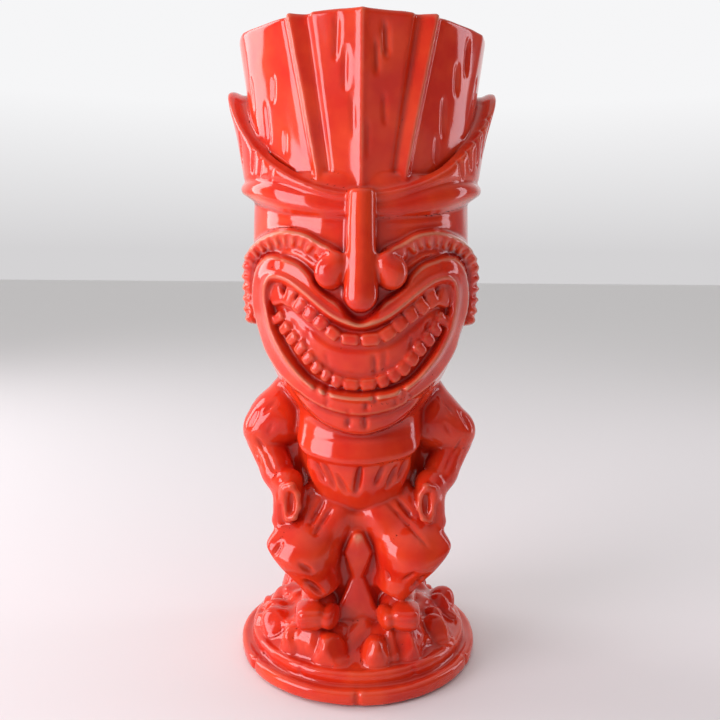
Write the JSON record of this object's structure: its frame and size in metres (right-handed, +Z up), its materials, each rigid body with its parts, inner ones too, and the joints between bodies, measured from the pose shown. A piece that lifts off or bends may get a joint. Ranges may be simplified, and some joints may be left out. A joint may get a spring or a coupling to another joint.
{
  "type": "tiki mug",
  "caption": "Tall drinking mug shaped as a grinning carved figure that squats on a round rocky plinth, with its flared crown as the open cup rim.",
  "frame": {"origin": "centre of the flat underside of the foot, on the surface that the mug stands on", "axes": "+Z up through the cup's mouth, -Y the way the face looks, +X to the figure's left"},
  "size_m": [0.0868, 0.088, 0.2],
  "materials": {
    "glaze": "high-gloss orange-red glaze, darker where it pools and paler where it thins over the ridges",
    "bare_clay": "wiped, unglazed, matt"
  },
  "bodies": {
    "root": {"belly": "glaze", "chest": "glaze", "chin": "glaze", "crown_back_left_panel": "glaze", "crown_back_left_rib": "glaze", "crown_back_prow": "glaze", "crown_back_right_panel": "glaze", "crown_back_right_rib": "glaze", "crown_front_left_panel": "glaze", "crown_front_left_rib": "glaze", "crown_front_prow": "glaze", "crown_front_right_panel": "glaze", "crown_front_right_rib": "glaze", "crown_side_left_panel": "glaze", "crown_side_right_panel": "glaze", "crown_wall": "glaze", "foot": "bare_clay", "head_wall": "glaze", "headband": "glaze", "left_brow": "glaze", "left_eye": "glaze", "left_foot": "glaze", "left_forearm": "glaze", "left_hand": "glaze", "left_nostril": "glaze", "left_shin": "glaze", "left_thigh": "glaze", "left_upper_arm": "glaze", "left_web": "glaze", "lips": "glaze", "lower_hoop": "glaze", "lower_teeth": "glaze", "muzzle": "glaze", "nose": "glaze", "right_brow": "glaze", "right_eye": "glaze", "right_foot": "glaze", "right_forearm": "glaze", "right_hand": "glaze", "right_nostril": "glaze", "right_shin": "glaze", "right_thigh": "glaze", "right_upper_arm": "glaze", "right_web": "glaze", "rock_mound": "glaze", "stone_01": "glaze", "stone_02": "glaze", "stone_03": "glaze", "stone_04": "glaze", "stone_05": "glaze", "stone_06": "glaze", "stone_07": "glaze", "stone_08": "glaze", "stone_09": "glaze", "stump": "glaze", "tongue": "glaze", "torso_wall": "glaze", "upper_hoop": "glaze", "upper_teeth": "glaze"}
  },
  "joints": []
}
